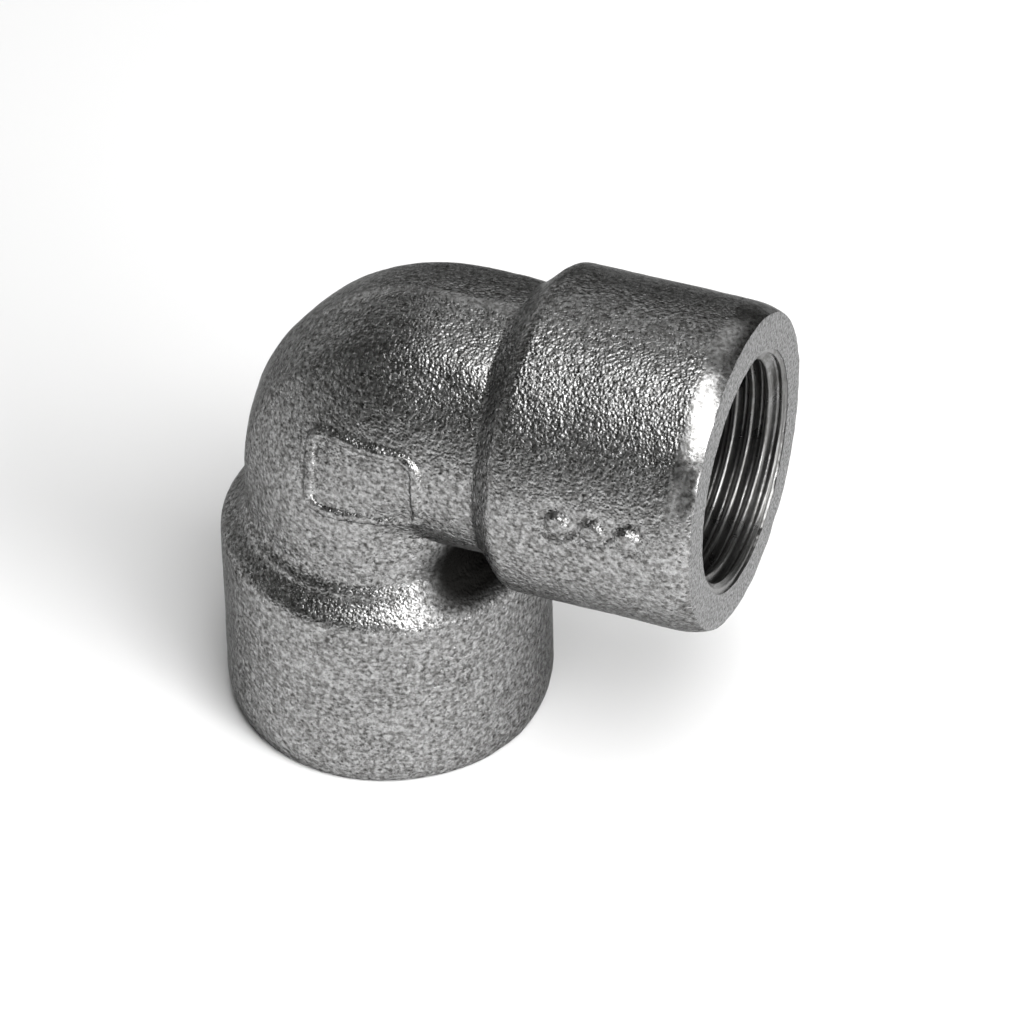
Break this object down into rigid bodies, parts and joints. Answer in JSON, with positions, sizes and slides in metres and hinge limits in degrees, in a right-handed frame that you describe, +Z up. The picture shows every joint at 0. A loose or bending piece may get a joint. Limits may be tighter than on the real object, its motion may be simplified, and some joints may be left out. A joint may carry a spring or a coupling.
{
  "type": "pipe elbow",
  "caption": "Forged steel 90 degree elbow with an internally threaded socket at each end and a drilled flow passage.",
  "frame": {"origin": "centre of the lower socket's mouth, on its machined face", "axes": "+Z up along the lower port's axis into the elbow, +X along the side port's axis out of its mouth, +Y to the back"},
  "size_m": [0.076, 0.046, 0.076],
  "materials": {
    "forged_steel": "as-forged, shot-blasted and oiled skin, dull grey with fine dimples that glint"
  },
  "bodies": {
    "root": {"lower_socket": "forged_steel", "bend": "forged_steel", "side_socket": "forged_steel"}
  },
  "joints": []
}
